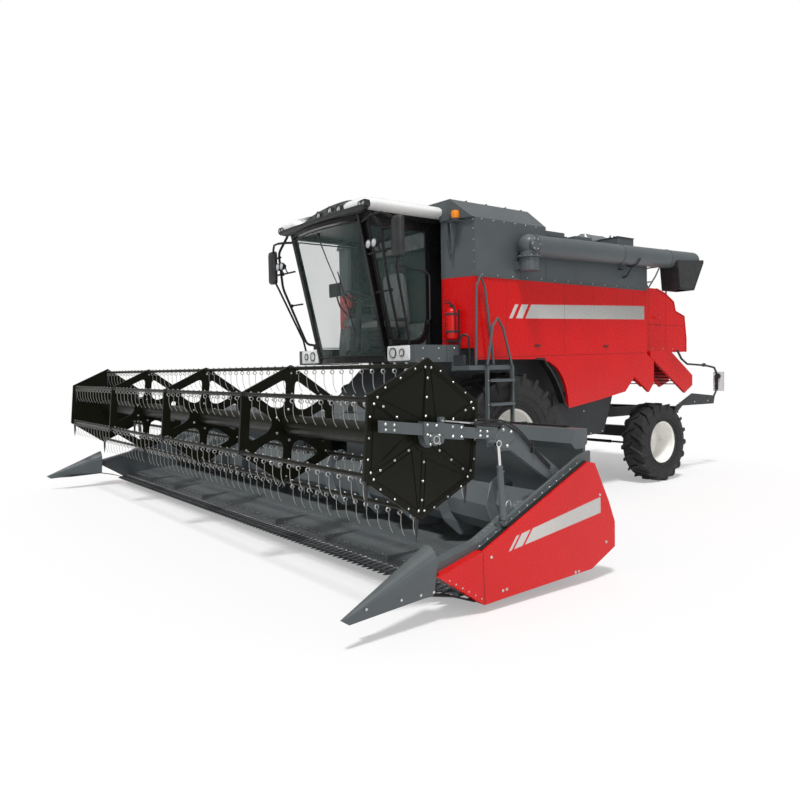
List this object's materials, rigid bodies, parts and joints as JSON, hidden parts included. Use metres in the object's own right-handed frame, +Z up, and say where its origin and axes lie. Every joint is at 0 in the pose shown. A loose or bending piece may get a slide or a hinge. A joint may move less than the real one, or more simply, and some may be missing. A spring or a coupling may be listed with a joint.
{
  "type": "combine harvester with cutting header",
  "caption": "Self-propelled combine harvester with a wide reel header, cab, grain tank, folding unloading auger and straw hood.",
  "frame": {"origin": "on the ground, under the middle of the whole machine's box", "axes": "+Z up, -Y the way the machine drives and cuts, +X its left side"},
  "size_m": [8.3406, 9.557, 3.87],
  "materials": {
    "red": "gloss red paint",
    "grey": "satin grey paint",
    "dark": "satin dark paint",
    "black": "satin black paint",
    "white": "smooth white moulding",
    "cream": "gloss off-white paint",
    "tyre": "black tyre rubber",
    "olive": "satin olive-black paint",
    "steel": "bright metal",
    "glass": "tinted safety glass",
    "seat": "woven seat cloth",
    "rubber": "matt black rubber"
  },
  "bodies": {
    "root": {"chassis_frame": "grey", "threshing_body": "grey", "engine": "dark", "grain_tank": "grey", "engine_bay": "grey", "silencer": "steel", "side_panel_left": "red", "side_panel_right": "red", "straw_hood": "red", "deflector": "red", "tail_bar": "grey", "front_axle": "dark", "rear_axle": "dark", "cab_frame": "black", "windscreen": "glass", "window_right": "glass", "window_rear": "glass", "roof": "white", "seat": "seat", "steering_column": "black", "platform_left": "grey", "platform_right": "grey"},
    "front_wheel_left": {"front_tyre_left": "tyre", "front_rim_left": "cream"},
    "front_wheel_right": {"front_tyre_right": "tyre", "front_rim_right": "cream"},
    "knuckle_left": {"knuckle_left": "dark"},
    "knuckle_right": {"knuckle_right": "dark"},
    "tie_rod": {"tie_rod": "dark"},
    "rear_wheel_left": {"rear_tyre_left": "tyre", "rear_rim_left": "cream"},
    "rear_wheel_right": {"rear_tyre_right": "tyre", "rear_rim_right": "cream"},
    "header": {"feeder_house": "grey", "header_frame": "grey", "end_panel_left": "red", "end_panel_right": "red"},
    "table_auger": {"table_auger": "grey"},
    "reel_arms": {"reel_arm_left": "grey", "reel_arm_right": "grey"},
    "reel_sleeves": {"reel_sleeve_left": "grey", "reel_sleeve_right": "grey"},
    "reel": {"reel": "olive"},
    "tine_bar_1": {"tine_bar_1": "dark"},
    "tine_bar_2": {"tine_bar_2": "dark"},
    "tine_bar_3": {"tine_bar_3": "dark"},
    "tine_bar_4": {"tine_bar_4": "dark"},
    "tine_bar_5": {"tine_bar_5": "dark"},
    "tine_bar_6": {"tine_bar_6": "dark"},
    "reel_lift_barrels": {"reel_lift_barrel_left": "dark", "reel_lift_barrel_right": "dark"},
    "reel_lift_rods": {"reel_lift_rod_left": "steel", "reel_lift_rod_right": "steel"},
    "lift_barrels": {"lift_barrels": "dark"},
    "lift_rods": {"lift_rods": "steel"},
    "cab_door": {"cab_door": "black", "door_glass": "glass"},
    "unloading_auger": {"auger_tube": "grey", "auger_spout": "rubber"}
  },
  "joints": [
    {"name": "front_wheel_left_spin", "type": "hinge", "parent": "root", "child": "front_wheel_left", "pos_m": [1.3, -0.5415, 0.845], "axis": [1, 0, 0], "continuous": true},
    {"name": "front_wheel_right_spin", "type": "hinge", "parent": "root", "child": "front_wheel_right", "pos_m": [-1.3, -0.5415, 0.845], "axis": [1, 0, 0], "continuous": true},
    {"name": "steer_left", "type": "hinge", "parent": "root", "child": "knuckle_left", "pos_m": [1.08, 2.6135, 0.588], "axis": [0, 0, 1], "range_deg": [-35, 35]},
    {"name": "steer_right", "type": "hinge", "parent": "root", "child": "knuckle_right", "pos_m": [-1.08, 2.6135, 0.588], "axis": [0, 0, 1], "range_deg": [-35, 35]},
    {"name": "tie_rod_pivot", "type": "hinge", "parent": "knuckle_left", "child": "tie_rod", "pos_m": [1.08, 2.8635, 0.504], "axis": [0, 0, 1], "range_deg": [-35, 35]},
    {"name": "rear_wheel_left_spin", "type": "hinge", "parent": "knuckle_left", "child": "rear_wheel_left", "pos_m": [1.41, 2.6135, 0.588], "axis": [1, 0, 0], "continuous": true},
    {"name": "rear_wheel_right_spin", "type": "hinge", "parent": "knuckle_right", "child": "rear_wheel_right", "pos_m": [-1.41, 2.6135, 0.588], "axis": [1, 0, 0], "continuous": true},
    {"name": "header_lift", "type": "hinge", "parent": "root", "child": "header", "pos_m": [0, -1.2615, 1.64], "axis": [-1, 0, 0], "range_deg": [-1, 22]},
    {"name": "lift_barrel_swing", "type": "hinge", "parent": "root", "child": "lift_barrels", "pos_m": [0, -0.7015, 0.64], "axis": [-1, 0, 0], "range_deg": [-1, 14.5]},
    {"name": "lift_ram", "type": "slide", "parent": "lift_barrels", "child": "lift_rods", "axis": [0, -0.9901, -0.1403], "range_m": [-0.019, 0.4]},
    {"name": "table_auger_spin", "type": "hinge", "parent": "header", "child": "table_auger", "pos_m": [0, -2.7115, 0.545], "axis": [1, 0, 0], "continuous": true},
    {"name": "reel_lift", "type": "hinge", "parent": "header", "child": "reel_arms", "pos_m": [0, -2.6615, 0.87], "axis": [-1, 0, 0], "range_deg": [-8, 20]},
    {"name": "reel_barrel_swing", "type": "hinge", "parent": "header", "child": "reel_lift_barrels", "pos_m": [0, -3.3415, 0.615], "axis": [-1, 0, 0], "range_deg": [-6, 13]},
    {"name": "reel_ram", "type": "slide", "parent": "reel_lift_barrels", "child": "reel_lift_rods", "axis": [0, -0.0852, 0.9964], "range_m": [-0.1, 0.245]},
    {"name": "reel_fore_aft", "type": "slide", "parent": "reel_arms", "child": "reel_sleeves", "axis": [0, -0.9932, 0.1162], "range_m": [-0.1, 0.12]},
    {"name": "reel_spin", "type": "hinge", "parent": "reel_sleeves", "child": "reel", "pos_m": [0, -3.9355, 1.262], "axis": [1, 0, 0], "continuous": true},
    {"name": "tine_bar_1_turn", "type": "hinge", "parent": "reel", "child": "tine_bar_1", "pos_m": [0, -3.8942, 1.77534], "axis": [1, 0, 0], "continuous": true},
    {"name": "tine_bar_2_turn", "type": "hinge", "parent": "reel", "child": "tine_bar_2", "pos_m": [0, -4.35942, 1.55444], "axis": [1, 0, 0], "continuous": true},
    {"name": "tine_bar_3_turn", "type": "hinge", "parent": "reel", "child": "tine_bar_3", "pos_m": [0, -4.40072, 1.0411], "axis": [1, 0, 0], "continuous": true},
    {"name": "tine_bar_4_turn", "type": "hinge", "parent": "reel", "child": "tine_bar_4", "pos_m": [0, -3.9768, 0.74866], "axis": [1, 0, 0], "continuous": true},
    {"name": "tine_bar_5_turn", "type": "hinge", "parent": "reel", "child": "tine_bar_5", "pos_m": [0, -3.51158, 0.96956], "axis": [1, 0, 0], "continuous": true},
    {"name": "tine_bar_6_turn", "type": "hinge", "parent": "reel", "child": "tine_bar_6", "pos_m": [0, -3.47028, 1.4829], "axis": [1, 0, 0], "continuous": true},
    {"name": "unloading_swing", "type": "hinge", "parent": "root", "child": "unloading_auger", "pos_m": [1.65, -0.3615, 3.25], "axis": [0, 0, -1], "range_deg": [0, 95]},
    {"name": "cab_door_hinge", "type": "hinge", "parent": "root", "child": "cab_door", "pos_m": [0.85, -1.3065, 2.7], "axis": [0, 0, 1], "range_deg": [0, 60]}
  ],
  "couplings": [
    {"joint": "steer_right", "follows": "steer_left", "ratio": 1},
    {"joint": "tie_rod_pivot", "follows": "steer_left", "ratio": -1},
    {"joint": "lift_barrel_swing", "follows": "header_lift", "ratio": 0.6241},
    {"joint": "lift_ram", "follows": "header_lift", "m_per_rad": 1.0198},
    {"joint": "reel_barrel_swing", "follows": "reel_lift", "ratio": 0.6308},
    {"joint": "reel_ram", "follows": "reel_lift", "m_per_rad": 0.6845},
    {"joint": "tine_bar_1_turn", "follows": "reel_spin", "ratio": -1},
    {"joint": "tine_bar_2_turn", "follows": "reel_spin", "ratio": -1},
    {"joint": "tine_bar_3_turn", "follows": "reel_spin", "ratio": -1},
    {"joint": "tine_bar_4_turn", "follows": "reel_spin", "ratio": -1},
    {"joint": "tine_bar_5_turn", "follows": "reel_spin", "ratio": -1},
    {"joint": "tine_bar_6_turn", "follows": "reel_spin", "ratio": -1}
  ]
}
